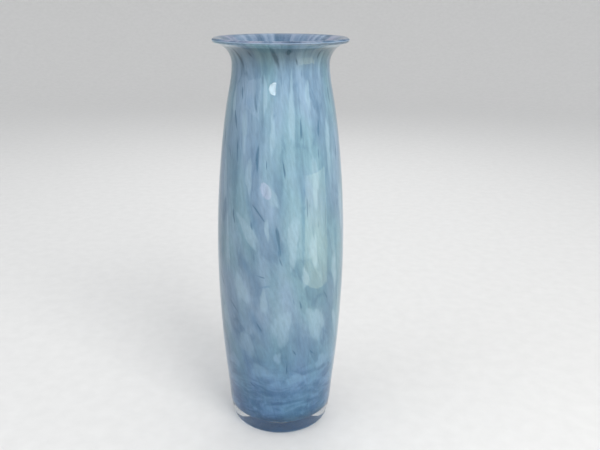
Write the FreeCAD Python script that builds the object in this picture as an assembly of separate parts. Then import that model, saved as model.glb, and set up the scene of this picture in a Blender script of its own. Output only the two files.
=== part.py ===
"""Tall hand blown art glass vase, modelled as the layers of glass that the blower gathers one over another.

From the inside out: a clear core, an opal ground, a blue skin with pale chips and dark streaks melted into
it, and a clear casing that thickens into a solid heel. A small pontil mark is left in the hollow under the
foot. All the layers are fused, so nothing moves. The vase stands on its foot ring at the origin, with +Z up
its axis. A bearing is an angle round the axis: 0 is the front, -Y, and it grows towards +X. Sizes are in
millimetres.
"""

import FreeCAD, Part
import math
import os
import random

# The outer form
HEIGHT = 400.0
FOOT_RING_INNER = 38.0      # the flat ring that the vase stands on
FOOT_RING_OUTER = 44.6
KICK_HEIGHT = 3.0           # the hollow under the foot, at its centre
HEEL_RADIUS = 7.0           # the rounding from the foot ring to the side
HEEL_END_DEG = -11.0        # where that rounding meets the side, from the horizontal
BODY = [(53.4, 14.0), (55.4, 32.0), (59.1, 72.0), (62.8, 128.0), (64.1, 184.0),
        (61.9, 248.0), (55.7, 312.0), (50.0, 348.0)]        # radius, height
NECK_RADIUS = 46.1
FLARE_RADIUS = 19.4         # the arc from the upright neck out to the lip
FLARE_DEG = 79.4

# The layers through the wall
WALL = 4.4                  # core, ground, skin and casing together, and the lip's thickness
CASING = 1.9
SKIN = 0.5
GROUND = 0.6
HEEL_EXTRA = 3.2            # how much thicker the casing is beside the heel
HEEL_FADE = 34.0            # the height over which that falls to a third
FLOOR_HEIGHT = 12.5         # underside of the colour, over the solid clear heel
CORNER_RADIUS = 16.0        # rounding of the colour's lower corner
FLOOR_RADIUS = 34.0
CORNER_END_DEG = -8.0
STATIONS = [50, 72, 105, 145, 184, 220, 256, 290, 320, 345, 362]    # heights that set out the inner curves
HALVINGS = 40               # steps that find a height on the side's curve

# The pontil mark
PONTIL_RADIUS = 11.0
PONTIL_THICKNESS = 1.3
PONTIL_EDGE = 0.5

# Pieces melted into the skin: bearing, height, length, width, lean (the top goes right as it grows)
PALE = [
    (-30, 227, 42, 13, -33), (11, 221, 62, 12, 3), (-38, 168, 36, 17, -22), (1, 130, 46, 21, 4),
    (34, 131, 44, 22, -16), (-15, 157, 32, 9, -3), (-34, 108, 34, 19, -14), (-3, 96, 16, 9, 0),
    (-38, 321, 48, 7, -4), (-30, 280, 38, 8, -2), (-17, 352, 40, 5, -2), (11, 338, 70, 7, 1),
    (-8, 318, 46, 6, 0), (-7, 262, 26, 10, -18), (-12, 231, 26, 5, -6), (52, 306, 62, 7, 2),
    (33, 276, 52, 9, 0), (-21, 79, 18, 23, 12), (15, 70, 13, 25, -10), (45, 84, 18, 20, -20),
    (62, 121, 46, 8, -16), (-54, 208, 62, 7, -2), (30, 208, 40, 10, -4), (56, 182, 46, 10, -8),
    (-60, 128, 34, 15, -20), (-62, 272, 54, 8, -3), (22, 182, 24, 9, -8), (-54, 82, 16, 20, 8),
    (70, 244, 56, 9, -4), (30, 352, 34, 6, 0), (-58, 345, 32, 6, -6), (68, 78, 16, 18, -8),
]
DARK = [
    (-52, 330, 24, 2.6, -20), (-45, 302, 24, 1.8, -4), (-22, 297, 26, 3.6, 0), (-27, 345, 18, 2.6, -12),
    (-46, 353, 13, 2.2, -14), (3, 288, 20, 1.8, -8), (-13, 291, 10, 1.3, 0), (-2, 222, 34, 3.4, -8),
    (-20, 247, 24, 2.2, -38), (-46, 240, 16, 2.6, -10), (-17, 184, 9, 1.3, -78), (-47, 146, 18, 1.5, -44),
    (-20, 130, 14, 2.4, -30), (13, 102, 8, 1.6, -30), (18, 154, 10, 2.0, -12), (6, 84, 15, 1.4, 2),
    (45, 158, 14, 1.8, -30), (20, 322, 22, 2.6, 0), (40, 322, 18, 2.8, 4), (24, 250, 20, 1.4, 0),
    (58, 74, 6, 2.2, 0), (54, 62, 6, 2.0, 30), (31, 99, 9, 1.6, -40), (0, 200, 9, 1.4, -20),
    (44, 240, 30, 1.2, 2), (38, 300, 12, 1.2, 0), (-70, 310, 22, 2.4, -6), (66, 300, 26, 2.0, 2),
    (-66, 170, 22, 2.2, -30), (72, 170, 24, 2.0, -16), (64, 350, 18, 2.4, 0), (-30, 60, 8, 1.8, -60),
]
# Round the back, rows of the same pieces: height, pale length and width, dark length and width
BACK_ROWS = [
    (64, 14, 21, 8, 1.8), (92, 20, 19, 10, 2.0), (134, 38, 18, 14, 2.0), (190, 44, 14, 18, 2.2),
    (256, 54, 10, 24, 2.2), (328, 46, 8, 20, 2.2),
]
BACK_PER_ROW = 6
BACK_START = 92.0           # bearings from here, round the back, to -BACK_START
BACK_JITTER_DEG = 3.0
BACK_JITTER = 3.0
BACK_LEAN_START = -32       # the lean of the lowest row, and how much straighter each next row stands
BACK_LEAN_STEP = 6
BACK_SEED = 5
OUTLINE_POINTS = 8          # an even number, as each arc of a chip's outline takes two of them
UNEVENNESS = 0.16           # how far a chip's outline strays from an oval
STREAK_STEPS = 2            # straight sides from a streak's middle to its point
RADIAL_REACH = 12.0         # how far a cutter runs through the wall
SKIN_SECTORS = 8            # the skin is revolved in sectors, so that each of its faces has few holes

ORIGIN = FreeCAD.Vector(0, 0, 0)
UP = FreeCAD.Vector(0, 0, 1)
LIP_RADIUS = WALL / 2
FLARE = math.radians(FLARE_DEG)
NECK_HEIGHT = HEIGHT - LIP_RADIUS - (LIP_RADIUS + FLARE_RADIUS) * math.sin(FLARE)


def at(radius, height):
    """A point of a section, which lies in the XZ plane."""
    return FreeCAD.Vector(radius, 0, height)


def polar(centre, radius, degrees):
    """A point on an arc of the section, with its angle from the horizontal."""
    angle = math.radians(degrees)
    return centre + at(radius * math.cos(angle), radius * math.sin(angle))


def arc(centre, radius, start_deg, end_deg):
    middle = (start_deg + end_deg) / 2
    return Part.Arc(*(polar(centre, radius, a) for a in (start_deg, middle, end_deg))).toShape()


def spline(points, start_tangent, end_tangent):
    """A smooth curve through the points, paced by its chords, with these directions at its ends."""
    pace = [0.0]
    for before, after in zip(points, points[1:]):
        pace.append(pace[-1] + (after - before).Length)
    curve = Part.BSplineCurve()
    curve.interpolate(Points=points, Parameters=pace, InitialTangent=start_tangent,
                      FinalTangent=end_tangent, Scale=False)
    return curve


def tangent_at(degrees):
    """The direction of travel at the end of an arc that has turned up to this angle."""
    return at(-math.sin(math.radians(degrees)), math.cos(math.radians(degrees)))


def outer_body():
    """The side of the vase, from the end of the heel's rounding to the neck."""
    start = polar(at(FOOT_RING_OUTER, HEEL_RADIUS), HEEL_RADIUS, HEEL_END_DEG)
    points = [start] + [at(r, z) for r, z in BODY] + [at(NECK_RADIUS, NECK_HEIGHT)]
    return spline(points, tangent_at(HEEL_END_DEG), UP)


def lip_point(depth):
    """The point of the rounded lip that lies this deep in the wall."""
    into_wall = at(-math.cos(FLARE), math.sin(FLARE))
    along = at(math.sin(FLARE), math.cos(FLARE))
    end = at(NECK_RADIUS + FLARE_RADIUS * (1 - math.cos(FLARE)), NECK_HEIGHT + FLARE_RADIUS * math.sin(FLARE))
    rise = math.sqrt(max(0.0, LIP_RADIUS ** 2 - (depth - LIP_RADIUS) ** 2))
    return end + into_wall * depth + along * rise


def lip_arc(start_depth, end_depth):
    """The stretch of the rounded lip between two depths in the wall."""
    turns = [math.acos(1 - d / LIP_RADIUS) for d in (start_depth, end_depth)]
    middle = LIP_RADIUS * (1 - math.cos(sum(turns) / 2))
    return Part.Arc(*(lip_point(d) for d in (start_depth, middle, end_depth))).toShape()


def flare(depth):
    """The flare at this depth in the wall, and the short run from it into the lip."""
    centre = at(NECK_RADIUS + FLARE_RADIUS, NECK_HEIGHT)
    curve = arc(centre, FLARE_RADIUS + depth, 180, 180 - FLARE_DEG)
    end = polar(centre, FLARE_RADIUS + depth, 180 - FLARE_DEG)
    tip = lip_point(depth)
    return [curve] if (tip - end).Length < 1e-6 else [curve, Part.makeLine(end, tip)]


def body_parameter(body, height):
    """The parameter of the side's curve at this height, found by halving, as the curve only ever climbs."""
    low, high = body.FirstParameter, body.LastParameter
    for _ in range(HALVINGS):
        middle = (low + high) / 2
        if body.value(middle).z < height:
            low = middle
        else:
            high = middle
    return low


def inside_outer_body(body, height, depth):
    """The point this deep behind the outer side, at the station of this height."""
    place = body_parameter(body, height)
    along = body.tangent(place)[0]
    return body.value(place) + at(-along.z, along.x).normalize() * depth


def boundary(body, depth):
    """The section curve this deep behind the colour's outside, from the axis to the lip."""
    corner = at(FLOOR_RADIUS, FLOOR_HEIGHT + CORNER_RADIUS)
    floor = Part.makeLine(at(0, FLOOR_HEIGHT + depth), at(FLOOR_RADIUS, FLOOR_HEIGHT + depth))
    turn = arc(corner, CORNER_RADIUS - depth, -90, CORNER_END_DEG)
    points = [polar(corner, CORNER_RADIUS - depth, CORNER_END_DEG)]
    for height in STATIONS:
        extra = HEEL_EXTRA * math.exp(-(height - FLOOR_HEIGHT) / HEEL_FADE)
        points.append(inside_outer_body(body, height, CASING + extra + depth))
    points.append(at(NECK_RADIUS - CASING - depth, NECK_HEIGHT))
    side = spline(points, tangent_at(CORNER_END_DEG), UP).toShape()
    return [floor, turn, side] + flare(CASING + depth)


def revolve(edges, sectors=1):
    """A solid of revolution from the edges of a closed section, given in any order."""
    face = Part.Face(Part.Wire(Part.__sortEdges__(edges)))
    if sectors == 1:
        return face.revolve(ORIGIN, UP, 360)
    slices = []
    for n in range(sectors):
        start = face.copy()
        start.rotate(ORIGIN, UP, 360 * n / sectors)
        slices.append(start.revolve(ORIGIN, UP, 360 / sectors))
    return slices[0].fuse(slices[1:])


def layer(body, outer_depth, inner_depth, sectors=1):
    """One layer of the wall, between two depths behind the colour's outside."""
    axis = Part.makeLine(at(0, FLOOR_HEIGHT + outer_depth), at(0, FLOOR_HEIGHT + inner_depth))
    lip = lip_arc(CASING + outer_depth, CASING + inner_depth)
    return revolve(boundary(body, outer_depth) + [lip, axis] + boundary(body, inner_depth), sectors)


def kick_arc(radius):
    """The hollow under the foot, from the axis out to this radius."""
    sphere = (FOOT_RING_INNER ** 2 + KICK_HEIGHT ** 2) / (2 * KICK_HEIGHT)

    def height(r):
        return KICK_HEIGHT - sphere + math.sqrt(sphere ** 2 - r ** 2)

    return Part.Arc(*(at(r, height(r)) for r in (0, radius / 2, radius))).toShape(), height(radius)


def clear_casing(body):
    underside, _ = kick_arc(FOOT_RING_INNER)
    foot_ring = Part.makeLine(at(FOOT_RING_INNER, 0), at(FOOT_RING_OUTER, 0))
    heel = arc(at(FOOT_RING_OUTER, HEEL_RADIUS), HEEL_RADIUS, -90, HEEL_END_DEG)
    outside = [underside, foot_ring, heel, body.toShape()] + flare(0) + [lip_arc(0, CASING)]
    axis = Part.makeLine(at(0, KICK_HEIGHT), at(0, FLOOR_HEIGHT))
    return revolve(outside + [axis] + boundary(body, 0))


def pontil_mark():
    """The wafer of glass that the pontil iron leaves, with a rounded edge, fused into the hollow."""
    top, edge_height = kick_arc(PONTIL_RADIUS)
    bottom_height = KICK_HEIGHT - PONTIL_THICKNESS
    shoulder = at(PONTIL_RADIUS - PONTIL_EDGE, bottom_height)
    edge = at(PONTIL_RADIUS, edge_height)
    bulge = at(PONTIL_RADIUS - PONTIL_EDGE * 0.2, bottom_height + PONTIL_EDGE * 0.45)
    side = Part.Arc(shoulder, bulge, edge).toShape()
    bottom = Part.makeLine(at(0, bottom_height), shoulder)
    axis = Part.makeLine(at(0, bottom_height), at(0, KICK_HEIGHT))
    return revolve([top, side, bottom, axis])


def back_pieces():
    """The pale and the dark pieces round the back, in rows, each with its own small shift."""
    draw = random.Random(BACK_SEED)
    span = 360.0 - 2 * BACK_START
    pale, dark = [], []
    for row, (height, pale_length, pale_width, dark_length, dark_width) in enumerate(BACK_ROWS):
        lean = BACK_LEAN_START + BACK_LEAN_STEP * row
        for n in range(BACK_PER_ROW):
            place = (n + 0.5 * (row % 2)) / BACK_PER_ROW
            bearing = BACK_START + span * place + draw.uniform(-BACK_JITTER_DEG, BACK_JITTER_DEG)
            shift = draw.uniform(-BACK_JITTER, BACK_JITTER)
            pale.append((bearing, height + shift, pale_length * draw.uniform(0.7, 1), pale_width, lean))
            beside = bearing + span / BACK_PER_ROW / 2
            dark.append((beside, height - shift, dark_length * draw.uniform(0.7, 1), dark_width, lean))
    return pale, dark


def chip_outline(centre, across, along, length, width, unevenness_phase):
    """The uneven oval of a melted chip, a ring of arcs."""
    points = []
    for n in range(OUTLINE_POINTS):
        turn = 2 * math.pi * n / OUTLINE_POINTS
        wobble = 1 + UNEVENNESS * math.sin(3 * turn + unevenness_phase)
        sideways = across * (width / 2 * wobble * math.cos(turn))
        points.append(centre + sideways + along * (length / 2 * math.sin(turn)))
    starts = range(0, OUTLINE_POINTS, 2)
    return [Part.Arc(points[n], points[n + 1], points[(n + 2) % OUTLINE_POINTS]).toShape() for n in starts]


def streak_outline(centre, across, along, length, width, _):
    """A drawn out streak, with short straight sides that swell from a point at each end."""
    shares = [n / STREAK_STEPS for n in range(-STREAK_STEPS, STREAK_STEPS)]
    side = [along * (s * length / 2) + across * (width / 2 * (1 - s * s)) for s in shares]
    points = [centre + offset for offset in side] + [centre - offset for offset in side]
    return Part.makePolygon(points + points[:1]).Edges


def cutter(body, outline, bearing, height, length, width, lean):
    """A block with the outline of one melted piece, set radially across the skin."""
    radius = inside_outer_body(body, height, CASING).x
    angle, tilt = math.radians(bearing), math.radians(lean)
    outward = FreeCAD.Vector(math.sin(angle), -math.cos(angle), 0)
    right = FreeCAD.Vector(math.cos(angle), math.sin(angle), 0)
    across = right * math.cos(tilt) - UP * math.sin(tilt)
    along = right * math.sin(tilt) + UP * math.cos(tilt)
    centre = outward * (radius + RADIAL_REACH / 2) + UP * height
    edges = outline(centre, across, along, length, width, bearing + height)
    return Part.Face(Part.Wire(edges)).extrude(outward * -RADIAL_REACH)


def melted_into_skin(body):
    """The skin, and the pale and dark pieces that fill the holes they leave in it."""
    skin = layer(body, 0, SKIN, SKIN_SECTORS)
    back_pale, back_dark = back_pieces()
    pale_cutters = [cutter(body, chip_outline, *piece) for piece in PALE + back_pale]
    dark_cutters = [cutter(body, streak_outline, *piece) for piece in DARK + back_dark]
    dark = [solid for block in dark_cutters for solid in block.common(skin).Solids]
    pale = []
    for block in pale_cutters:
        crossing = [other for other in dark_cutters if other.BoundBox.intersect(block.BoundBox)]
        chip = block.common(skin)
        pale += chip.cut(crossing).Solids if crossing else chip.Solids
    return skin.cut(pale_cutters + dark_cutters), Part.makeCompound(pale), Part.makeCompound(dark)


def main():
    os.makedirs("parts", exist_ok=True)
    body = outer_body()
    skin, pale, dark = melted_into_skin(body)
    nodes = {
        "clear_casing": clear_casing(body),
        "blue_skin": skin,
        "pale_chips": pale,
        "dark_streaks": dark,
        "opal_ground": layer(body, SKIN, SKIN + GROUND),
        "clear_core": layer(body, SKIN + GROUND, WALL - CASING),
        "pontil_mark": pontil_mark(),
    }
    for name, shape in nodes.items():
        shape.exportStep(f"parts/{name}.step")
        print(name, len(shape.Solids), "solids", round(shape.Volume / 1000, 2), "cm3", shape.isValid())


main()
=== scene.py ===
"""The looks of the tall hand blown glass vase: clear glass over mottled blue colour, on a pale studio floor.

Every layer of glass is turned from the same section as the CAD model, a little uneven as blown glass is. The
two clear layers are real refracting glass, and their hidden faces lie just inside the colour, so that no two
glass faces meet. A bearing is an angle round the axis: 0 is the front, -Y, and it grows towards +X.
"""

import math
import random

import bmesh
import bpy
import numpy as np
from mathutils import Matrix, Vector


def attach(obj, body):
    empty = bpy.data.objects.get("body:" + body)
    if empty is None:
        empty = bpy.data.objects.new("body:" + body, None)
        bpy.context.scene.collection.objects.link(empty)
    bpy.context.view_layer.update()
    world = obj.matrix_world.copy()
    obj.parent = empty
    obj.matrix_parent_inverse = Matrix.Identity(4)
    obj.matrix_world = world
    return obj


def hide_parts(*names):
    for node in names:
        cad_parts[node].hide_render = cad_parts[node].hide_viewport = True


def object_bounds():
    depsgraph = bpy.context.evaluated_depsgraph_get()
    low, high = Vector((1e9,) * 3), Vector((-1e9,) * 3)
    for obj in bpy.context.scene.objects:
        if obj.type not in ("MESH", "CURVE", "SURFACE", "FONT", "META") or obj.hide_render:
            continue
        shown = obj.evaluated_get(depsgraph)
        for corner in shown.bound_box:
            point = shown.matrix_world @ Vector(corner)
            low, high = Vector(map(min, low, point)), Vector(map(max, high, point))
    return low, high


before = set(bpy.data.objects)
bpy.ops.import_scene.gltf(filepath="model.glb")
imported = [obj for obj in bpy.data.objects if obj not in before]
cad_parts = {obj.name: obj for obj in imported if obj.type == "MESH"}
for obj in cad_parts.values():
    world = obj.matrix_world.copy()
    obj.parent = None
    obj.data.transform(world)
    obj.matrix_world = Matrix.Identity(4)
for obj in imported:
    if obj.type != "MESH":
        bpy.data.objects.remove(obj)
CAD_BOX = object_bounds()

MM = 0.001
HEIGHT = CAD_BOX[1].z

# The section's driving dimensions
FOOT_RING_INNER = 38.0 * MM
FOOT_RING_OUTER = 44.6 * MM
KICK_HEIGHT = 3.0 * MM
HEEL_RADIUS = 7.0 * MM
HEEL_END_DEG = -11.0
BODY = [(53.4, 14.0), (55.4, 32.0), (59.1, 72.0), (62.8, 128.0), (64.1, 184.0),
        (61.9, 248.0), (55.7, 312.0), (50.0, 348.0)]        # radius, height, in millimetres
NECK_RADIUS = 46.1 * MM
FLARE_RADIUS = 19.4 * MM
FLARE_DEG = 79.4
WALL = 4.4 * MM
CASING = 1.9 * MM
SKIN = 0.5 * MM
GROUND = 0.6 * MM
HEEL_EXTRA = 3.2 * MM
HEEL_FADE = 34.0 * MM
FLOOR_HEIGHT = 12.5 * MM
CORNER_RADIUS = 16.0 * MM
FLOOR_RADIUS = 34.0 * MM
CORNER_END_DEG = -8.0
STATIONS = [50, 72, 105, 145, 184, 220, 256, 290, 320, 345, 362]      # heights in millimetres
EMBED = 0.2 * MM            # how far a clear layer's hidden face lies inside the colour
PONTIL_RADIUS = 11.0 * MM
PONTIL_THICKNESS = 1.3 * MM
PONTIL_BEVEL = [(0.5 * MM, 0.0), (0.15 * MM, 0.2 * MM)]     # in from its edge, up from its underside

LIP_RADIUS = WALL / 2
FLARE = math.radians(FLARE_DEG)
NECK_HEIGHT = HEIGHT - LIP_RADIUS - (LIP_RADIUS + FLARE_RADIUS) * math.sin(FLARE)

# How finely the meshes are made
SEGMENTS = 192
SPAN_STEPS = 9
ARC_STEPS = 14
LEVEL_POINTS = 9            # from the axis out along the hollow of the foot and the floor of the vessel
PONTIL_POINTS = 5
PATCH_RINGS = 7
PATCH_TURNS = 32
POLE_RADIUS = 1e-6          # nearer the axis than this, a ring is one point
SHARP_DEG = 50.0            # an edge that bends more than this is shaded sharp

# The unevenness of hand blowing
WOBBLES = [(2, 9.0, 1.3, 0.10), (3, -14.0, 0.4, 0.07), (5, 31.0, 2.2, 0.03)]    # lobes, rad/m, phase, mm
RIM_TILT = math.radians(0.4)
TILT_START = 330 * MM

# Pieces melted into the skin: bearing, height, length, width, and lean, where the top goes right as it grows.
# Angles are in degrees and the rest in mm
PALE = [
    (-30, 227, 42, 13, -33), (11, 221, 62, 12, 3), (-38, 168, 36, 17, -22), (1, 130, 46, 21, 4),
    (34, 131, 44, 22, -16), (-15, 157, 32, 9, -3), (-34, 108, 34, 19, -14), (-3, 96, 16, 9, 0),
    (-38, 321, 48, 7, -4), (-30, 280, 38, 8, -2), (-17, 352, 40, 5, -2), (11, 338, 70, 7, 1),
    (-8, 318, 46, 6, 0), (-7, 262, 26, 10, -18), (-12, 231, 26, 5, -6), (52, 306, 62, 7, 2),
    (33, 276, 52, 9, 0), (-21, 79, 18, 23, 12), (15, 70, 13, 25, -10), (45, 84, 18, 20, -20),
    (62, 121, 46, 8, -16), (-54, 208, 62, 7, -2), (30, 208, 40, 10, -4), (56, 182, 46, 10, -8),
    (-60, 128, 34, 15, -20), (-62, 272, 54, 8, -3), (22, 182, 24, 9, -8), (-54, 82, 16, 20, 8),
    (70, 244, 56, 9, -4), (30, 352, 34, 6, 0), (-58, 345, 32, 6, -6), (68, 78, 16, 18, -8),
]
DARK = [
    (-52, 330, 24, 2.6, -20), (-45, 302, 24, 1.8, -4), (-22, 297, 26, 3.6, 0), (-27, 345, 18, 2.6, -12),
    (-46, 353, 13, 2.2, -14), (3, 288, 20, 1.8, -8), (-13, 291, 10, 1.3, 0), (-2, 222, 34, 3.4, -8),
    (-20, 247, 24, 2.2, -38), (-46, 240, 16, 2.6, -10), (-17, 184, 9, 1.3, -78), (-47, 146, 18, 1.5, -44),
    (-20, 130, 14, 2.4, -30), (13, 102, 8, 1.6, -30), (18, 154, 10, 2.0, -12), (6, 84, 15, 1.4, 2),
    (45, 158, 14, 1.8, -30), (20, 322, 22, 2.6, 0), (40, 322, 18, 2.8, 4), (24, 250, 20, 1.4, 0),
    (58, 74, 6, 2.2, 0), (54, 62, 6, 2.0, 30), (31, 99, 9, 1.6, -40), (0, 200, 9, 1.4, -20),
    (44, 240, 30, 1.2, 2), (38, 300, 12, 1.2, 0), (-70, 310, 22, 2.4, -6), (66, 300, 26, 2.0, 2),
    (-66, 170, 22, 2.2, -30), (72, 170, 24, 2.0, -16), (64, 350, 18, 2.4, 0), (-30, 60, 8, 1.8, -60),
]
# Round the back, rows of the same pieces: height, pale length and width, dark length and width
BACK_ROWS = [
    (64, 14, 21, 8, 1.8), (92, 20, 19, 10, 2.0), (134, 38, 18, 14, 2.0), (190, 44, 14, 18, 2.2),
    (256, 54, 10, 24, 2.2), (328, 46, 8, 20, 2.2),
]
BACK_PER_ROW = 6
BACK_START_DEG = 92.0
BACK_JITTER_DEG = 3.0
BACK_JITTER_MM = 3.0
BACK_SHORTEST = 0.7
BACK_LEAN_START = -32
BACK_LEAN_STEP = 6
BACK_SEED = 5
PALE_RISE = 0.12 * MM       # how far a piece's middle stands out from its edge, into the clear casing
DARK_RISE = 0.07 * MM
PATCH_SINK = 0.012 * MM     # how far its edge lies under the skin's outer face, and then its underside
PATCH_DEPTH = 0.36 * MM
# Bold dark strokes of colour in the flare, with the same numbers as the melted pieces
NECK_STROKES = [
    (-51, 383, 24, 5.0, -23), (-6, 386, 22, 5.5, -23), (-34, 388, 6, 2.4, -24), (8, 391, 6, 7.0, -30),
    (18, 381, 10, 2.0, -21), (-21, 371, 16, 1.6, -5), (44, 388, 8, 3.0, -10), (78, 384, 20, 4.0, -18),
    (112, 386, 16, 5.0, -22), (150, 383, 22, 4.0, -20), (-172, 388, 10, 4.0, -24), (-136, 384, 20, 5.0, -22),
    (-98, 387, 14, 3.0, -20),
]
# Broad soft drifts of paler and of deeper blue down the front, with the same numbers again
PALE_DRIFTS = [
    (-3, 139, 66, 38, -3), (33, 131, 48, 31, -8), (9, 228, 76, 20, -3), (-33, 166, 48, 20, -18),
    (-27, 112, 46, 24, -25), (13, 59, 26, 12, -81), (-17, 147, 44, 14, 0), (-25, 232, 50, 16, -15),
    (24, 47, 38, 11, -84), (-12, 45, 38, 10, -96),
]
DEEP_DRIFTS = [
    (-24, 237, 54, 9, -21), (-2, 215, 42, 9, -17), (-33, 194, 36, 10, -34), (-26, 351, 44, 5, -4),
    (-22, 292, 44, 5, -4), (-23, 134, 36, 10, -26), (-35, 87, 32, 9, -18), (-31, 36, 34, 8, -71),
    (-4, 33, 16, 4, -70), (-14, 174, 16, 3, -108), (20, 238, 84, 5, 0), (58, 215, 60, 9, -4),
    (42, 262, 104, 12, 0), (-35, 345, 20, 15, -4),
]
BACK_DRIFTS = [(132, 16), (-122, -14)]      # the same again round the back: turned by, higher by
UNEVENNESS = 0.16           # of a melted piece's outline, as a share of its size

# The patterns are laid out on an even tube of this radius, and close up towards the axis inside its core
TUBE_RADIUS = 0.06
TUBE_CORE = 0.045
# Layers of the pattern: lean in radians for a metre of climb, a mark's width and length in metres, a turn
BROAD_STREAKS = (1.5, 0.0125, 0.085, 0.0)
NARROW_STREAKS = (1.1, 0.0052, 0.050, 2.0)
PETALS = (6.0, 0.0195, 0.046, 0.7)
SWIRLS = (-2.0, 0.034, 0.0125, 1.4)
HUES = (3.0, 0.030, 0.080, 4.0)
LINED_AREAS = (5.0, 0.022, 0.040, 9.0)
FLECKS = (2.0, 0.0042, 0.024, 5.0)
NECK_STREAKS = (2.0, 0.0065, 0.060, 0.9)
GRAIN = (3.5, 0.0026, 0.0090, 6.0)
RAGGED_EDGES = (3.0, 0.0045, 0.018, 3.0)
LINING_STREAKS = (1.4, 0.0105, 0.10, 1.0)
LINING_HUES = (1.0, 0.030, 0.10, 3.0)
RIPPLES = (1.0, 0.020, 0.090, 0.0)
LEAN_END = 0.225            # the height from which the pattern stops leaning, softly
LEAN_END_SOFTNESS = 0.12
PETAL_WAVE = 0.75           # how far the petals' edges wave, in petals
PETAL_SOFTNESS = 0.32
STROKE_EDGE = 1.75          # where a stroke ends, in half sizes from its middle, with the noise on its edge
STROKE_RAGGEDNESS = (420, 420, 150)     # of that noise, in marks for a metre along each axis
GRAIN_RANGE = (0.91, 1.09)
RIPPLE_DEPTH = 0.00012
# The heights over which a look sets in, in metres, from none of it to all of it
SWIRLED_FROM = (0.100, 0.050)
STREAKED_FROM = (0.17, 0.30)
HEEL_DEEP_AND_SHADED_FROM = (0.165, 0.015)
FLOOR_PAINTED_LIGHT_FROM = (0.0150, 0.0130)
NECK_STREAKS_FROM = (0.340, 0.380)
NECK_PAINTED_SHADE_FROM = (0.366, 0.390)
LIP_PAINTED_LIGHT_FROM = (0.3938, 0.3956)
RIM_FROM = (0.3970, 0.3979)
MILKY_AND_PAINTED_LIGHT_FROM = (0.376, 0.330)
# Colours, and tints that multiply a colour
MOTTLE_STOPS = [
    (0.0, (0.127, 0.244, 0.344)), (0.28, (0.183, 0.304, 0.397)), (0.52, (0.240, 0.373, 0.466)),
    (0.76, (0.294, 0.432, 0.521)), (1.0, (0.355, 0.492, 0.570)),
]
# The looks of the strokes and drifts: colour, strength, and where it is full, measured as STROKE_EDGE is
PALE_DRIFT_LOOK = ((0.365, 0.500, 0.580), 0.45, 0.60)
DEEP_DRIFT_LOOK = ((0.135, 0.270, 0.385), 0.66, 0.40)
NECK_STROKE_LOOK = ((0.060, 0.125, 0.180), 0.80, 0.95)
LILAC_TINT = (1.045, 0.975, 1.025)
GREEN_TINT = (0.975, 1.015, 0.970)
LINE_COLOUR = (0.085, 0.190, 0.290)
LINE_STRENGTH = 0.42
FLECK_COLOUR = (0.060, 0.165, 0.270)
FLECK_STRENGTH = 0.6
# Darker and bluer towards the foot: partly deeper colour, partly painted shade
HEEL_DEEP_AND_SHADED_TINT = (0.43, 0.65, 0.90)
# The colour's floor, painted a brighter blue that stands in for light reaching it through the heel
FLOOR_PAINTED_LIGHT_BLUE = (0.190, 0.420, 0.740)
NECK_STREAK_COLOUR = (0.080, 0.160, 0.205)
NECK_STREAK_STRENGTH = 0.22
# Painted shade under the flare
NECK_PAINTED_SHADE_TINT = (0.95, 0.96, 0.90)
# Painted light on the rounded lip
LIP_PAINTED_LIGHT_TINT = (1.75, 1.70, 1.75)
RIM_COLOUR = (0.330, 0.430, 0.550)
# The looks of the melted pieces: tint, strength, and where it is full, from 0 at the edge to 1 in the middle
PALE_MELT = ((0.390, 0.530, 0.605), 0.62, 0.50)
DARK_MELT = ((0.075, 0.175, 0.262), 0.80, 0.45)
MELT_START = -0.12          # where the tint starts on that scale, with the noise that makes it ragged
MELT_RAGGEDNESS = 0.8
MELT_RIM = (0.02, 0.20)     # the rim of a piece, over which the tint fades out in any case
LINING_STOPS = [(0.0, (0.048, 0.111, 0.186)), (0.45, (0.115, 0.188, 0.282)), (1.0, (0.232, 0.296, 0.388))]
LINING_TINT = (1.22, 0.98, 0.98)
# Paler deep inside: partly the lining's milky colour, partly painted light against the shade in the vase
MILKY_AND_PAINTED_LIGHT_STOPS = [(0.34, (0.64, 0.75, 0.83)), (0.66, (0.79, 0.85, 0.89))]
CLEAR_TINT = (0.93, 0.968, 1.0)
GLASS_IOR = 1.5

# Camera, stage and the light from all round
CAMERA_PLACE = (0.0, -0.6469, 0.4376)
CAMERA_PITCH = math.radians(18.93)
CAMERA_YAW = math.radians(1.736)
CAMERA_ROLL = math.radians(0.595)
SENSOR_MM = 36.0
LENS_MM = 40.34
CLIP = (0.01, 50)
STAGE_MIDDLE = 0.5          # a ring of the flat floor, then its edge, its bend up and the wall's top
STAGE_RADIUS = 2.2
STAGE_BEND = 1.4
STAGE_WALL = 2.6
STAGE_SIDES = 96
STAGE_BEND_POINTS = 13
WORLD_COLOUR = (0.95, 0.97, 1.0, 1)
WORLD_STRENGTH = 0.95


# The section ---------------------------------------------------------------------------------------------

def arc(centre, radius, start_deg, end_deg, steps=ARC_STEPS):
    """Points (radius, height) of the section along an arc, with angles from the horizontal."""
    turns = np.radians(np.linspace(start_deg, end_deg, steps + 1))
    return [(centre[0] + radius * math.cos(t), centre[1] + radius * math.sin(t)) for t in turns]


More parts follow.
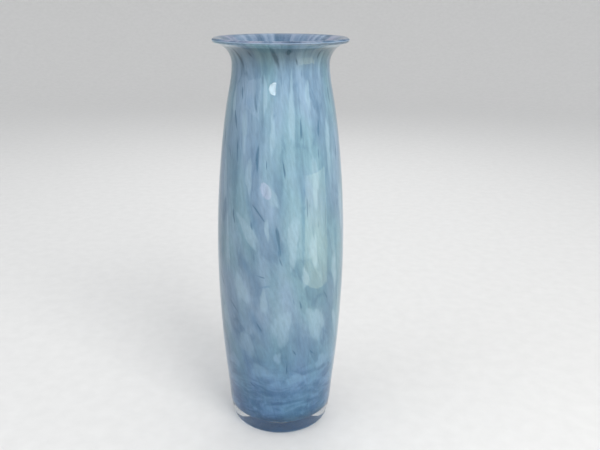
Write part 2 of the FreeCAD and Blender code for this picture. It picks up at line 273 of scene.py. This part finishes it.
def curve(points, start_direction, end_direction):
    """A smooth curve through the points with these directions at its ends, as densely spaced points."""
    knots = np.array(points)
    gaps = np.linalg.norm(np.diff(knots, axis=0), axis=1)
    count = len(knots)
    matrix, right = np.zeros((count, count)), np.zeros((count, 2))
    matrix[0, 0] = matrix[-1, -1] = 1
    right[0], right[-1] = start_direction, end_direction
    for n in range(1, count - 1):
        before, after = gaps[n - 1], gaps[n]
        matrix[n, n - 1:n + 2] = after, 2 * (before + after), before
        slopes = (knots[n] - knots[n - 1]) * after / before + (knots[n + 1] - knots[n]) * before / after
        right[n] = 3 * slopes
    tangents = np.linalg.solve(matrix, right)
    line = [knots[0]]
    for n, gap in enumerate(gaps):
        for t in np.linspace(0, 1, SPAN_STEPS + 1)[1:]:
            first, last = (1 + 2 * t) * (1 - t) ** 2, t * t * (3 - 2 * t)
            leave, arrive = t * (1 - t) ** 2 * gap, t * t * (t - 1) * gap
            place = first * knots[n] + last * knots[n + 1]
            line.append(place + leave * tangents[n] + arrive * tangents[n + 1])
    return [tuple(p) for p in line]


def direction(degrees):
    """The way an arc runs where it has turned to this angle."""
    return -math.sin(math.radians(degrees)), math.cos(math.radians(degrees))


def outer_side():
    """The outside from the end of the heel's rounding to the neck."""
    start = arc((FOOT_RING_OUTER, HEEL_RADIUS), HEEL_RADIUS, HEEL_END_DEG, HEEL_END_DEG, 1)[0]
    points = [start] + [(r * MM, z * MM) for r, z in BODY] + [(NECK_RADIUS, NECK_HEIGHT)]
    return curve(points, direction(HEEL_END_DEG), (0, 1))


def behind(side, height, depth):
    """The point this deep behind the outer side at this height."""
    line = np.array(side)
    n = int(np.searchsorted(line[:, 1], height))
    share = (height - line[n - 1, 1]) / (line[n, 1] - line[n - 1, 1])
    along = line[n] - line[n - 1]
    along = along / np.linalg.norm(along)
    place = line[n - 1] + share * (line[n] - line[n - 1])
    return tuple(place + np.array([-along[1], along[0]]) * depth)


def lip_point(depth):
    """The point of the rounded lip that lies this deep in the wall."""
    end_r = NECK_RADIUS + FLARE_RADIUS * (1 - math.cos(FLARE))
    end_z = NECK_HEIGHT + FLARE_RADIUS * math.sin(FLARE)
    rise = math.sqrt(max(0.0, LIP_RADIUS ** 2 - (depth - LIP_RADIUS) ** 2))
    return (end_r - depth * math.cos(FLARE) + rise * math.sin(FLARE),
            end_z + depth * math.sin(FLARE) + rise * math.cos(FLARE))


def lip(start_depth, end_depth):
    """The rounded lip between two depths in the wall, without its first point."""
    turns = [math.acos(max(-1, min(1, 1 - d / LIP_RADIUS))) for d in (start_depth, end_depth)]
    steps = max(3, round(abs(turns[1] - turns[0]) / math.pi * 2 * ARC_STEPS))
    return [lip_point(LIP_RADIUS * (1 - math.cos(t))) for t in np.linspace(*turns, steps + 1)[1:]]


def flare(depth):
    """The flare at this depth in the wall, up to the lip, without its first point."""
    run = arc((NECK_RADIUS + FLARE_RADIUS, NECK_HEIGHT), FLARE_RADIUS + depth, 180, 180 - FLARE_DEG)
    return run[1:] + ([lip_point(depth)] if depth > 0 else [])


def kick(radius):
    """The hollow under the foot, from the axis out to this radius."""
    sphere = (FOOT_RING_INNER ** 2 + KICK_HEIGHT ** 2) / (2 * KICK_HEIGHT)
    radii = np.linspace(0, radius, LEVEL_POINTS)
    return [(r, KICK_HEIGHT - sphere + math.sqrt(sphere ** 2 - r ** 2)) for r in radii]


def outside(side, lip_depth):
    """The whole outside, from the axis under the foot to this depth in the lip."""
    heel = arc((FOOT_RING_OUTER, HEEL_RADIUS), HEEL_RADIUS, -90, HEEL_END_DEG)
    return kick(FOOT_RING_INNER) + heel + side[1:] + flare(0) + lip(0, lip_depth)


def between(side, depth):
    """The face between two layers, this deep behind the colour's outside, from the axis to the lip."""
    corner = (FLOOR_RADIUS, FLOOR_HEIGHT + CORNER_RADIUS)
    floor = [(r, FLOOR_HEIGHT + depth) for r in np.linspace(0, FLOOR_RADIUS, LEVEL_POINTS)[:-1]]
    turn = arc(corner, CORNER_RADIUS - depth, -90, CORNER_END_DEG)
    points = [turn[-1]]
    for station in STATIONS:
        extra = HEEL_EXTRA * math.exp(-(station * MM - FLOOR_HEIGHT) / HEEL_FADE)
        points.append(behind(side, station * MM, CASING + extra + depth))
    points.append((NECK_RADIUS - CASING - depth, NECK_HEIGHT))
    return floor + turn + curve(points, direction(CORNER_END_DEG), (0, 1))[1:] + flare(CASING + depth)


# Meshes --------------------------------------------------------------------------------------------------

def blown(radius, bearing, height):
    """The place in the row frame of a point of the section, moved as hand blowing makes it uneven."""
    swell = 0.0
    for lobes, pitch, phase, mm in WOBBLES:
        swell += mm * MM * math.sin(lobes * bearing + pitch * height + phase)
    radius += swell * min(1.0, radius / NECK_RADIUS)
    x, y = radius * math.sin(bearing), -radius * math.cos(bearing)
    share = max(0.0, min(1.0, (height - TILT_START) / (HEIGHT - TILT_START)))
    return x, y, height + math.tan(RIM_TILT) * x * share * share


def add_piece(bm, name, material, node):
    """Make a smooth piece of this mesh, which rides with the CAD model and stands for one of its nodes."""
    bmesh.ops.recalc_face_normals(bm, faces=bm.faces)
    for face in bm.faces:
        face.smooth = True
    for edge in bm.edges:
        edge.smooth = edge.calc_face_angle(0) < math.radians(SHARP_DEG)
    mesh = bpy.data.meshes.new(name)
    bm.to_mesh(mesh)
    bm.free()
    piece = bpy.data.objects.new(name, mesh)
    bpy.context.scene.collection.objects.link(piece)
    mesh.materials.append(material)
    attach(piece, "root")
    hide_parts(node)


def join(bm, rings, count):
    """Faces between each ring of points and the next, where a ring of one point is a pole."""
    for low, high in zip(rings, rings[1:]):
        for n in range(count):
            after = (n + 1) % count
            corners = [low[n % len(low)], low[after % len(low)], high[after % len(high)], high[n % len(high)]]
            bm.faces.new(list(dict.fromkeys(corners)))


def turned(line):
    """A closed mesh turned round the axis from a section that starts and ends on it."""
    bm = bmesh.new()
    rings = []
    for radius, height in line:
        count = 1 if radius < POLE_RADIUS else SEGMENTS
        rings.append([bm.verts.new(blown(radius, 2 * math.pi * n / count, height)) for n in range(count)])
    join(bm, rings, SEGMENTS)
    return bm


def back_pieces():
    """The pale and the dark pieces round the back, in rows, each with its own small shift."""
    draw = random.Random(BACK_SEED)
    span = 360.0 - 2 * BACK_START_DEG
    pale, dark = [], []
    for row, (height, pale_length, pale_width, dark_length, dark_width) in enumerate(BACK_ROWS):
        lean = BACK_LEAN_START + BACK_LEAN_STEP * row
        for n in range(BACK_PER_ROW):
            place = (n + 0.5 * (row % 2)) / BACK_PER_ROW
            bearing = BACK_START_DEG + span * place + draw.uniform(-BACK_JITTER_DEG, BACK_JITTER_DEG)
            shift = draw.uniform(-BACK_JITTER_MM, BACK_JITTER_MM)
            length = pale_length * draw.uniform(BACK_SHORTEST, 1)
            pale.append((bearing, height + shift, length, pale_width, lean))
            beside = bearing + span / BACK_PER_ROW / 2
            length = dark_length * draw.uniform(BACK_SHORTEST, 1)
            dark.append((beside, height - shift, length, dark_width, lean))
    return pale, dark


def patches(pieces, skin_side, rise):
    """Thin lenses of colour in the skin's outer face, with how far in from its edge each point is."""
    heights, radii = [z for _, z in skin_side], [r for r, _ in skin_side]
    bm = bmesh.new()
    inward = bm.verts.layers.float.new("inward")
    for bearing, height, length, width, lean in pieces:
        middle = float(np.interp(height * MM, heights, radii))
        tilt, phase = math.radians(lean), bearing + height

        def place(share, turn, depth):
            wobble = math.sin(3 * turn + phase) + math.sin(5 * turn + 2 * phase) / 2
            reach = share * MM / 2 * (1 + UNEVENNESS * wobble)
            u, v = reach * width * math.cos(turn), reach * length * math.sin(turn)
            right, up = u * math.cos(tilt) + v * math.sin(tilt), v * math.cos(tilt) - u * math.sin(tilt)
            z = height * MM + up
            r = float(np.interp(z, heights, radii)) + depth
            vert = bm.verts.new(blown(r, math.radians(bearing) + right / middle, z))
            vert[inward] = 1 - share
            return vert

        def sheet(depth_at):
            centre = place(0, 0, depth_at(0))
            turns = [2 * math.pi * n / PATCH_TURNS for n in range(PATCH_TURNS)]
            shares = [(n + 1) / PATCH_RINGS for n in range(PATCH_RINGS)]
            return [[centre]] + [[place(s, t, depth_at(s)) for t in turns] for s in shares]

        upper = sheet(lambda s: rise * (1 - s * s) - PATCH_SINK)
        lower = sheet(lambda s: -PATCH_DEPTH)
        join(bm, upper + lower[::-1], PATCH_TURNS)
    return bm


# Materials -----------------------------------------------------------------------------------------------

class Net:
    """A short way to write the nodes of one material or group."""

    def __init__(self, tree):
        self.tree = tree

    def put(self, kind, inputs=None, **settings):
        """A node of this kind, with values or links for its inputs."""
        node = self.tree.nodes.new(kind)
        for name, value in settings.items():
            setattr(node, name, value)
        for name, value in (inputs or {}).items():
            if isinstance(value, bpy.types.NodeSocket):
                self.tree.links.new(value, node.inputs[name])
            else:
                node.inputs[name].default_value = value
        return node

    def math(self, operation, *values):
        return self.put("ShaderNodeMath", dict(enumerate(values)), operation=operation).outputs[0]

    def vector(self, operation, *values):
        return self.put("ShaderNodeVectorMath", dict(enumerate(values)), operation=operation).outputs[0]

    def length(self, vector):
        return self.put("ShaderNodeVectorMath", {0: vector}, operation="LENGTH").outputs["Value"]

    def scaled(self, vector, factor):
        return self.put("ShaderNodeVectorMath", {0: vector, "Scale": factor}, operation="SCALE").outputs[0]

    def rotated(self, vector, angle, axis):
        inputs = {"Vector": vector, "Angle": angle}
        return self.put("ShaderNodeVectorRotate", inputs, rotation_type=axis).outputs[0]

    def weighed(self, *pairs):
        """The sum of the values, each times its weight."""
        parts = [self.math("MULTIPLY", value, weight) for value, weight in pairs]
        total = parts[0]
        for part in parts[1:]:
            total = self.math("ADD", total, part)
        return total

    def step(self, value, low, high, to_low=0.0, to_high=1.0):
        """A smooth step from to_low to to_high as value goes from low to high. Low may be the larger."""
        inputs = {"Value": value, "From Min": low, "From Max": high, "To Min": to_low, "To Max": to_high}
        return self.put("ShaderNodeMapRange", inputs, interpolation_type="SMOOTHSTEP").outputs[0]

    def mix(self, share, first, second):
        """A value between two others."""
        return self.put("ShaderNodeMix", {0: share, 2: first, 3: second}).outputs[0]

    def blend(self, share, first, second, kind="MIX"):
        """A colour between two others."""
        inputs = {0: share, 6: first, 7: second}
        return self.put("ShaderNodeMix", inputs, data_type="RGBA", blend_type=kind).outputs[2]

    def multiplied(self, colour, tint):
        return self.blend(1.0, colour, (*tint, 1), "MULTIPLY")

    def tint(self, colour, share, tint):
        """The colour, multiplied by the tint where share is 1."""
        return self.blend(share, colour, self.multiplied(colour, tint))

    def paint(self, colour, share, coat, strength=1.0):
        """The colour, drawn towards the coat with this strength where share is 1."""
        return self.blend(self.math("MULTIPLY", share, strength), colour, (*coat, 1))

    def noise(self, where, detail=2.0, roughness=0.5, distortion=0.0, output=0):
        """Noise as a value, or as a colour from output 1."""
        inputs = {"Vector": where, "Scale": 1.0, "Detail": detail}
        inputs.update({"Roughness": roughness, "Distortion": distortion})
        return self.put("ShaderNodeTexNoise", inputs).outputs[output]

    def ramp(self, value, stops):
        """A colour that runs through the stops as value grows."""
        node = self.put("ShaderNodeValToRGB", {0: value})
        points = node.color_ramp.elements
        while len(points) < len(stops):
            points.new(0.5)
        for point, (place, colour) in zip(points, stops):
            point.position = place
            point.color = (*colour, 1)
        return node.outputs[0]


def new_material(name):
    material = bpy.data.materials.new(name)
    material.use_nodes = True
    material.node_tree.nodes.clear()
    return material, Net(material.node_tree)


def finish_material(net, shader):
    net.put("ShaderNodeOutputMaterial", {"Surface": shader.outputs[0]})


def surface_place(net):
    """Where a point is on an even tube round the axis, the same in every layer, and its height."""
    place = net.put("ShaderNodeTexCoord").outputs["Object"]
    parts = net.put("ShaderNodeSeparateXYZ", {0: place})
    height = parts.outputs[2]
    flat = net.put("ShaderNodeCombineXYZ", {0: parts.outputs[0], 1: parts.outputs[1]}).outputs[0]
    scale = net.math("DIVIDE", TUBE_RADIUS, net.math("MAXIMUM", net.length(flat), TUBE_CORE))
    rise = net.put("ShaderNodeCombineXYZ", {2: height}).outputs[0]
    return net.vector("ADD", net.scaled(flat, scale), rise), height


def leaning(net, place, height, layer):
    """Where a point is in a layer of the pattern that leans as it climbs, with its marks as the units."""
    lean, width, length, shift = layer
    turned_place = net.rotated(place, net.math("MULTIPLY_ADD", height, lean, shift), "Z_AXIS")
    return net.vector("MULTIPLY", turned_place, (1 / width, 1 / width, 1 / length))


def stroked(net, colour, place, pieces, look):
    """The colour, with strokes of another that fade out towards their ragged edges."""
    coat, strength, full = look
    rough = net.noise(net.vector("MULTIPLY", place, STROKE_RAGGEDNESS), detail=2)
    total = 0.0
    for bearing, height, length, width, lean in pieces:
        front = net.rotated(place, -math.radians(bearing), "Z_AXIS")
        spot = net.vector("SUBTRACT", front, (0, -TUBE_RADIUS, height * MM))
        upright = net.rotated(spot, -math.radians(lean), "Y_AXIS")
        across, along = 2 / (width * MM), 2 / (length * MM)
        away = net.length(net.vector("MULTIPLY", upright, (across, across, along)))
        total = net.math("MAXIMUM", total, net.step(net.math("ADD", away, rough), STROKE_EDGE, full))
    return net.paint(colour, total, coat, strength)


def all_round(drifts):
    """The drifts down the front, and the same again round the back."""
    everywhere = list(drifts)
    for turn, rise in BACK_DRIFTS:
        everywhere += [(bearing + turn, height + rise, *size) for bearing, height, *size in drifts]
    return everywhere


def petal_cells(net, place, climb):
    """Leaning petals with a shade each, paler in the middle, and how near the edge of one a point is."""
    petal_at = leaning(net, place, climb, PETALS)
    wave = net.noise(petal_at, detail=4, roughness=0.6, output=1)
    wavy = net.vector("MULTIPLY_ADD", wave, (PETAL_WAVE,) * 3, petal_at)
    inputs = {"Vector": wavy, "Scale": 1.0}
    cells = net.put("ShaderNodeTexVoronoi", {**inputs, "Smoothness": PETAL_SOFTNESS}, feature="SMOOTH_F1")
    shade = net.put("ShaderNodeSeparateXYZ", {0: cells.outputs[1]}).outputs[0]
    crown = net.step(cells.outputs[0], 0.75, 0.15)
    petal = net.weighed((net.step(shade, 0.2, 0.8), 0.55), (crown, 0.45))
    return petal, net.put("ShaderNodeTexVoronoi", inputs, feature="DISTANCE_TO_EDGE").outputs[0]


def paleness(net, place, height, climb, petal):
    """How pale the mottle is, from 0 to 1: streaks above, petals in the middle and swirls over the heel."""
    broad_at = leaning(net, place, climb, BROAD_STREAKS)
    broad = net.step(net.noise(broad_at, detail=2, roughness=0.5, distortion=0.25), 0.32, 0.68)
    narrow_at = leaning(net, place, climb, NARROW_STREAKS)
    narrow = net.step(net.noise(narrow_at, detail=2, roughness=0.55), 0.28, 0.72)
    swirl_at = leaning(net, place, height, SWIRLS)
    swirl = net.step(net.noise(swirl_at, detail=4, roughness=0.6, distortion=1.1), 0.35, 0.65)

    soft = net.math("ADD", net.weighed((broad, 0.20), (narrow, 0.08), (petal, 0.42)), 0.10)
    streaked = net.math("ADD", net.weighed((broad, 0.38), (narrow, 0.24), (petal, 0.12)), 0.13)
    swirled = net.weighed((narrow, 0.08), (petal, 0.20), (swirl, 0.72))
    body = net.mix(net.step(height, *STREAKED_FROM), soft, streaked)
    return net.mix(net.step(height, *SWIRLED_FROM), body, swirled)


def lined(net, colour, place, climb, edge):
    """The colour with thin dark lines in some of the gaps between petals, and short dark flecks."""
    gap = net.step(edge, 0.075, 0.0)
    some = net.step(net.noise(leaning(net, place, climb, LINED_AREAS), detail=2), 0.47, 0.68)
    colour = net.paint(colour, net.math("MULTIPLY", gap, some), LINE_COLOUR, LINE_STRENGTH)
    fleck = net.step(net.noise(leaning(net, place, climb, FLECKS), detail=2, roughness=0.5), 0.68, 0.80)
    return net.paint(colour, fleck, FLECK_COLOUR, FLECK_STRENGTH)


def with_ends(net, colour, place, height):
    """The colour: darker and bluer over the heel, as deeper colour and as painted shade, streaked in the
    neck, with painted shade under the flare and painted light on the lip. Where it ends it is another blue:
    at the rim, and on the floor a brighter blue painted as light that reaches it through the heel.
    """
    # Darker and bluer over the heel: partly deeper colour, partly painted shade
    colour = net.tint(colour, net.step(height, *HEEL_DEEP_AND_SHADED_FROM), HEEL_DEEP_AND_SHADED_TINT)
    # The floor, painted a brighter blue that stands in for light reaching it through the heel
    colour = net.paint(colour, net.step(height, *FLOOR_PAINTED_LIGHT_FROM), FLOOR_PAINTED_LIGHT_BLUE)

    streak_at = leaning(net, place, height, NECK_STREAKS)
    streak = net.step(net.noise(streak_at, detail=2, roughness=0.5), 0.56, 0.72)
    streak = net.math("MULTIPLY", streak, net.step(height, *NECK_STREAKS_FROM))
    colour = net.paint(colour, streak, NECK_STREAK_COLOUR, NECK_STREAK_STRENGTH)
    colour = stroked(net, colour, place, NECK_STROKES, NECK_STROKE_LOOK)

    # Painted shade under the flare
    colour = net.tint(colour, net.step(height, *NECK_PAINTED_SHADE_FROM), NECK_PAINTED_SHADE_TINT)
    # Painted light on the rounded lip
    colour = net.tint(colour, net.step(height, *LIP_PAINTED_LIGHT_FROM), LIP_PAINTED_LIGHT_TINT)
    return net.paint(colour, net.step(height, *RIM_FROM), RIM_COLOUR)


def mottle_group():
    """The blue glass's pattern. Its colour has the whole mottle, and its grain is a fine unevenness."""
    group = bpy.data.node_groups.new("blue_mottle", "ShaderNodeTree")
    group.interface.new_socket("Colour", in_out="OUTPUT", socket_type="NodeSocketColor")
    group.interface.new_socket("Grain", in_out="OUTPUT", socket_type="NodeSocketFloat")
    net = Net(group)
    place, height = surface_place(net)
    climb = net.math("SMOOTH_MIN", height, LEAN_END, LEAN_END_SOFTNESS)
    petal, edge = petal_cells(net, place, climb)
    colour = net.ramp(paleness(net, place, height, climb, petal), MOTTLE_STOPS)
    colour = stroked(net, colour, place, all_round(PALE_DRIFTS), PALE_DRIFT_LOOK)
    colour = stroked(net, colour, place, all_round(DEEP_DRIFTS), DEEP_DRIFT_LOOK)
    hue = net.step(net.noise(leaning(net, place, height, HUES), detail=1), 0.34, 0.66)
    colour = net.blend(hue, net.multiplied(colour, LILAC_TINT), net.multiplied(colour, GREEN_TINT))
    colour = lined(net, colour, place, climb, edge)
    colour = with_ends(net, colour, place, height)
    fine = net.noise(leaning(net, place, height, GRAIN), detail=3, roughness=0.6)
    net.put("NodeGroupOutput", {"Colour": colour, "Grain": net.step(fine, 0.25, 0.75, *GRAIN_RANGE)})
    return group


def opaque_glass(net, colour):
    """Opaque glass, which has little gloss of its own inside the clear layers."""
    inputs = {"Base Color": colour, "Roughness": 0.45, "Specular IOR Level": 0.15}
    finish_material(net, net.put("ShaderNodeBsdfPrincipled", inputs))


def colour_material(name, mottle, melt=None):
    """Opaque coloured glass with the mottle, drawn towards a tint away from the edges of a melted piece."""
    material, net = new_material(name)
    pattern = net.put("ShaderNodeGroup", node_tree=mottle)
    colour = pattern.outputs["Colour"]
    if melt:
        tint, strength, full = melt
        inward = net.put("ShaderNodeAttribute", attribute_name="inward").outputs["Fac"]
        place, height = surface_place(net)
        edge_at = leaning(net, place, height, RAGGED_EDGES)
        noise = net.noise(edge_at, detail=4, roughness=0.6)
        ragged = net.math("MULTIPLY_ADD", noise, MELT_RAGGEDNESS, -MELT_RAGGEDNESS / 2)
        share = net.step(net.math("ADD", inward, ragged), MELT_START, full)
        share = net.math("MULTIPLY", share, net.step(inward, *MELT_RIM))
        # Over the heel a piece goes darker and bluer too: deeper colour and painted shade
        deep = [part * factor for part, factor in zip(tint, HEEL_DEEP_AND_SHADED_TINT)]
        tinted = net.blend(net.step(height, *HEEL_DEEP_AND_SHADED_FROM), (*tint, 1), (*deep, 1))
        colour = net.blend(net.math("MULTIPLY", share, strength), colour, tinted)
    opaque_glass(net, net.scaled(colour, pattern.outputs["Grain"]))
    return material


def opal_material():
    """The milky lilac blue lining, with soft upright streaks, which is paler below the neck: partly its own
    colour and partly painted light against the shade inside the vase.
    """
    material, net = new_material("opal_lining")
    place, height = surface_place(net)
    streak = net.noise(leaning(net, place, height, LINING_STREAKS), detail=3, roughness=0.5)
    colour = net.ramp(net.step(streak, 0.37, 0.63), LINING_STOPS)
    hue = net.step(net.noise(leaning(net, place, height, LINING_HUES), detail=1), 0.40, 0.60)
    colour = net.tint(colour, hue, LINING_TINT)
    # Paler deep inside: partly the lining's milky colour, partly painted light against the shade in the vase
    milky = net.ramp(streak, MILKY_AND_PAINTED_LIGHT_STOPS)
    opaque_glass(net, net.blend(net.step(height, *MILKY_AND_PAINTED_LIGHT_FROM), colour, milky))
    return material


def glass_material(name, passes):
    """Clear glass that bends light, with faint ripples. The kinds of rays that it passes aren't bent."""
    material, net = new_material(name)
    place, height = surface_place(net)
    ripple = net.noise(leaning(net, place, height, RIPPLES), detail=1)
    bump = net.put("ShaderNodeBump", {"Strength": 1.0, "Distance": RIPPLE_DEPTH, "Height": ripple})
    glass = net.put("ShaderNodeBsdfPrincipled", {
        "Base Color": (*CLEAR_TINT, 1), "Roughness": 0.015, "IOR": GLASS_IOR, "Transmission Weight": 1.0,
        "Normal": bump.outputs[0],
    })
    clear = net.put("ShaderNodeBsdfTransparent", {"Color": (*CLEAR_TINT, 1)})
    rays = net.put("ShaderNodeLightPath")
    straight = 0.0
    for kind in passes:
        straight = net.math("MAXIMUM", straight, rays.outputs[kind])
    inputs = {0: straight, 1: glass.outputs[0], 2: clear.outputs[0]}
    finish_material(net, net.put("ShaderNodeMixShader", inputs))
    return material


def pontil_material():
    """Ground glass with fine scratches."""
    material, net = new_material("ground_pontil_glass")
    place = net.put("ShaderNodeTexCoord").outputs["Object"]
    scratches = net.noise(net.vector("MULTIPLY", place, (900, 4500, 900)), detail=4, roughness=0.7)
    bump = net.put("ShaderNodeBump", {"Strength": 0.6, "Distance": 0.0002, "Height": scratches})
    finish_material(net, net.put("ShaderNodeBsdfPrincipled", {
        "Base Color": net.ramp(scratches, [(0.3, (0.50, 0.58, 0.61)), (0.7, (0.72, 0.79, 0.81))]),
        "Roughness": net.step(scratches, 0.3, 0.7, 0.35, 0.6), "IOR": GLASS_IOR, "Normal": bump.outputs[0],
    }))
    return material


def floor_material():
    """Pale and matt, with a faint grain."""
    material, net = new_material("studio_floor")
    place = net.put("ShaderNodeTexCoord").outputs["Object"]
    grain = net.noise(net.vector("MULTIPLY", place, (60, 60, 60)), detail=3)
    finish_material(net, net.put("ShaderNodeBsdfPrincipled", {
        "Base Color": net.ramp(grain, [(0.3, (0.700, 0.695, 0.685)), (0.7, (0.730, 0.725, 0.715))]),
        "Roughness": 0.9, "Specular IOR Level": 0.0,
    }))
    return material


# The pieces ----------------------------------------------------------------------------------------------

def make_vase():
    side = outer_side()
    skin_outer = between(side, 0)
    skin_inner = between(side, SKIN)
    ground_inner = between(side, SKIN + GROUND)
    mottle = mottle_group()
    casing_glass = glass_material("clear_casing_glass", ["Is Shadow Ray"])
    core_glass = glass_material("clear_core_glass", ["Is Shadow Ray", "Is Diffuse Ray"])

    casing = outside(side, CASING + EMBED) + between(side, EMBED)[::-1]
    add_piece(turned(casing), "casing_glass", casing_glass, "clear_casing")

    skin = skin_outer + lip(CASING, CASING + SKIN) + skin_inner[::-1][1:]
    skin_material = colour_material("blue_mottled_glass", mottle)
    add_piece(turned(skin), "blue_colour", skin_material, "blue_skin")

    ground = skin_inner + lip(CASING + SKIN, CASING + SKIN + GROUND) + ground_inner[::-1][1:]
    add_piece(turned(ground), "opal_lining", opal_material(), "opal_ground")

    core_start = CASING + SKIN + GROUND - EMBED
    core = between(side, core_start - CASING) + lip(core_start, WALL) + between(side, WALL - CASING)[::-1][1:]
    add_piece(turned(core), "core_glass", core_glass, "clear_core")

    skin_side = [p for p in skin_outer if p[0] > FLOOR_RADIUS and p[1] < NECK_HEIGHT + FLARE_RADIUS / 2]
    back_pale, back_dark = back_pieces()
    pale, dark = PALE + back_pale, DARK + back_dark
    pale_glass = colour_material("pale_melted_glass", mottle, PALE_MELT)
    dark_glass = colour_material("dark_melted_glass", mottle, DARK_MELT)
    add_piece(patches(pale, skin_side, PALE_RISE), "pale_patches", pale_glass, "pale_chips")
    add_piece(patches(dark, skin_side, DARK_RISE), "dark_lines", dark_glass, "dark_streaks")
    make_pontil()


def make_pontil():
    """The ground wafer that the pontil iron leaves, in the hollow of the foot."""
    low = KICK_HEIGHT - PONTIL_THICKNESS
    bevel = [(PONTIL_RADIUS - inset, low + rise) for inset, rise in PONTIL_BEVEL]
    underside = [(r, low) for r in np.linspace(0, bevel[0][0], PONTIL_POINTS)]
    top = [(r, z + EMBED) for r, z in kick(PONTIL_RADIUS)[::-1]]
    wafer = turned(underside + bevel[1:] + top)
    add_piece(wafer, "pontil_wafer", pontil_material(), "pontil_mark")


# Stage ---------------------------------------------------------------------------------------------------

def make_floor():
    """A pale floor that curves up into a plain wall, the same from every side."""
    bend = [(STAGE_RADIUS + STAGE_BEND * math.sin(t), STAGE_BEND * (1 - math.cos(t)))
            for t in np.linspace(0, math.pi / 2, STAGE_BEND_POINTS)]
    line = [(0.0, 0.0), (STAGE_MIDDLE, 0.0)] + bend + [(STAGE_RADIUS + STAGE_BEND, STAGE_WALL)]
    bm = bmesh.new()
    rings = []
    for radius, height in line:
        count = 1 if radius == 0 else STAGE_SIDES
        angles = [2 * math.pi * n / count for n in range(count)]
        rings.append([bm.verts.new((radius * math.cos(a), radius * math.sin(a), height)) for a in angles])
    join(bm, rings, STAGE_SIDES)
    for face in bm.faces:
        face.smooth = True
    mesh = bpy.data.meshes.new("studio_floor")
    bm.to_mesh(mesh)
    bm.free()
    mesh.materials.append(floor_material())
    floor = bpy.data.objects.new("studio_floor", mesh)
    bpy.context.scene.collection.objects.link(floor)


def softbox(name, place, target, size, watts, colour=(1, 1, 1)):
    """A rectangular lamp of this width and height that faces the target."""
    light = bpy.data.lights.new(name, "AREA")
    light.shape = "RECTANGLE"
    light.size, light.size_y = size
    light.energy = watts
    light.color = colour
    lamp = bpy.data.objects.new(name, light)
    bpy.context.scene.collection.objects.link(lamp)
    lamp.location = place
    lamp.rotation_euler = (Vector(target) - Vector(place)).to_track_quat("-Z", "Y").to_euler()
    lamp.visible_camera = False
    return lamp


def reflected(name, place, target, size, watts, beam, colour=(1, 1, 1), roll=0.0):
    """An oval lamp that only shows as a reflection in the gloss of the glass, within a beam this wide."""
    lamp = softbox(name, place, target, size, watts, colour)
    lamp.data.shape = "ELLIPSE"
    lamp.rotation_euler.rotate_axis("Z", roll)
    lamp.visible_diffuse = False
    lamp.data.spread = math.radians(beam)
    return lamp


def make_lights():
    middle = (0, 0, HEIGHT / 2)
    softbox("key_softbox", (0.62, -0.96, 1.15), middle, (0.7, 0.7), 12.2, (1.0, 0.985, 0.96))
    softbox("fill_softbox", (-1.1, -0.6, 0.9), middle, (0.9, 0.9), 3.1, (0.93, 0.96, 1.0))
    back = softbox("back_softbox", (0.1, 1.2, 1.1), middle, (0.9, 0.6), 4.0)
    back.visible_glossy = False

    # What the gloss shows of a room: a low greenish window, a white glint and a pink card
    window = reflected("low_window", (0.328, -0.175, 0.142), (0.034, -0.053, 0.231), (0.30, 0.225), 0.092, 90,
                       colour=(1.0, 0.97, 0.55))
    window.data.shape = "RECTANGLE"
    reflected("glint", (-0.0566, -0.1854, 0.3905), (-0.0079, -0.0474, 0.3587), (0.051, 0.0048), 0.0054, 180,
              roll=-0.03)
    reflected("pink_card", (-0.0797, -0.1923, 0.2512), (-0.0134, -0.0589, 0.2686), (0.068, 0.021), 0.0011, 60,
              colour=(1.0, 0.72, 0.84), roll=-0.15)

    world = bpy.data.worlds.new("studio")
    bpy.context.scene.world = world
    world.use_nodes = True
    background = world.node_tree.nodes["Background"]
    background.inputs[0].default_value = WORLD_COLOUR
    background.inputs[1].default_value = WORLD_STRENGTH


def make_camera():
    data = bpy.data.cameras.new("camera")
    data.sensor_width = SENSOR_MM
    data.lens = LENS_MM
    data.clip_start, data.clip_end = CLIP
    camera = bpy.data.objects.new("camera", data)
    bpy.context.scene.collection.objects.link(camera)
    turn = Matrix.Rotation(-CAMERA_YAW, 4, "Z")
    tilt = Matrix.Rotation(math.pi / 2 - CAMERA_PITCH, 4, "X")
    roll = Matrix.Rotation(CAMERA_ROLL, 4, "Z")
    camera.matrix_world = Matrix.Translation(CAMERA_PLACE) @ turn @ tilt @ roll
    bpy.context.scene.camera = camera


make_vase()
make_floor()
make_lights()
make_camera()
bpy.context.scene.view_settings.view_transform = "Standard"
